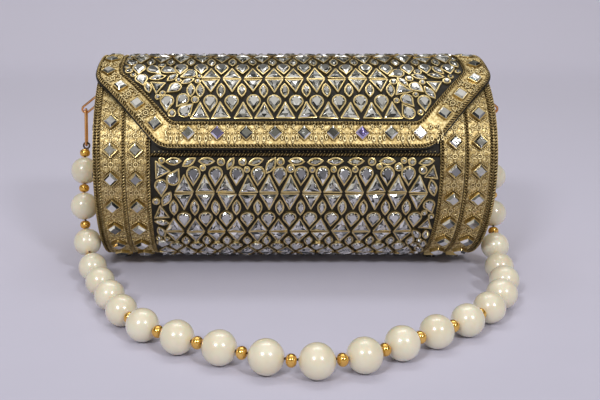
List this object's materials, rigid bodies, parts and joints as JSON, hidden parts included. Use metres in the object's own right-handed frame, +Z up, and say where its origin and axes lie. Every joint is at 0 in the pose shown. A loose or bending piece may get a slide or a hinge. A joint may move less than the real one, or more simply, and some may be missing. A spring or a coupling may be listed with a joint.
{
  "type": "kundan evening clutch bag with a pearl strap",
  "caption": "Cylindrical evening clutch set with foil-backed stones, with a hinged flap, stamped brass end bands and a bead strap.",
  "frame": {"origin": "on the floor, under the middle of the bag and its strap together", "axes": "+X along the bag's length to the wearer's view right, -Y to the front where the flap closes, +Z up"},
  "size_m": [0.2356, 0.2188, 0.1127],
  "materials": {
    "case_black": "matt black ground under the stones",
    "antique_brass": "stamped relief with dark antique recesses",
    "foil_stone": "clear faceted glass over silver foil",
    "bright_gold": "polished yellow gold plate",
    "pearl": "cream pearl lacquer",
    "dark_thread": "waxed cord"
  },
  "bodies": {
    "case": {"case_shell": "case_black", "band_outer_left": "antique_brass", "band_inner_left": "antique_brass", "band_outer_right": "antique_brass", "band_inner_right": "antique_brass", "body_field": "foil_stone", "mouth_rope": "antique_brass", "case_hinge": "antique_brass", "hinge_pin": "antique_brass", "end_cap_left": "antique_brass", "end_cap_right": "antique_brass", "strap_link_short_left": "bright_gold", "strap_link_long_left": "bright_gold", "strap_link_short_right": "bright_gold", "strap_link_long_right": "bright_gold", "pearl_01": "pearl", "pearl_02": "pearl", "pearl_03": "pearl", "pearl_04": "pearl", "pearl_05": "pearl", "pearl_06": "pearl", "pearl_07": "pearl", "pearl_08": "pearl", "pearl_09": "pearl", "pearl_10": "pearl", "pearl_11": "pearl", "pearl_12": "pearl", "pearl_13": "pearl", "pearl_14": "pearl", "pearl_15": "pearl", "pearl_16": "pearl", "pearl_17": "pearl", "pearl_18": "pearl", "pearl_19": "pearl", "pearl_20": "pearl", "pearl_21": "pearl", "pearl_22": "pearl", "pearl_23": "pearl", "strap_string": "bright_gold"},
    "flap": {"flap_shell": "case_black", "flap_field": "foil_stone", "flap_frame_bottom": "antique_brass", "flap_frame_left": "antique_brass", "flap_frame_right": "antique_brass", "flap_hinge": "antique_brass"}
  },
  "joints": [
    {"name": "flap_hinge", "type": "hinge", "parent": "case", "child": "flap", "pos_m": [0, 0.10168, 0.08316], "axis": [-1, 0, 0], "range_deg": [0, 110]}
  ]
}
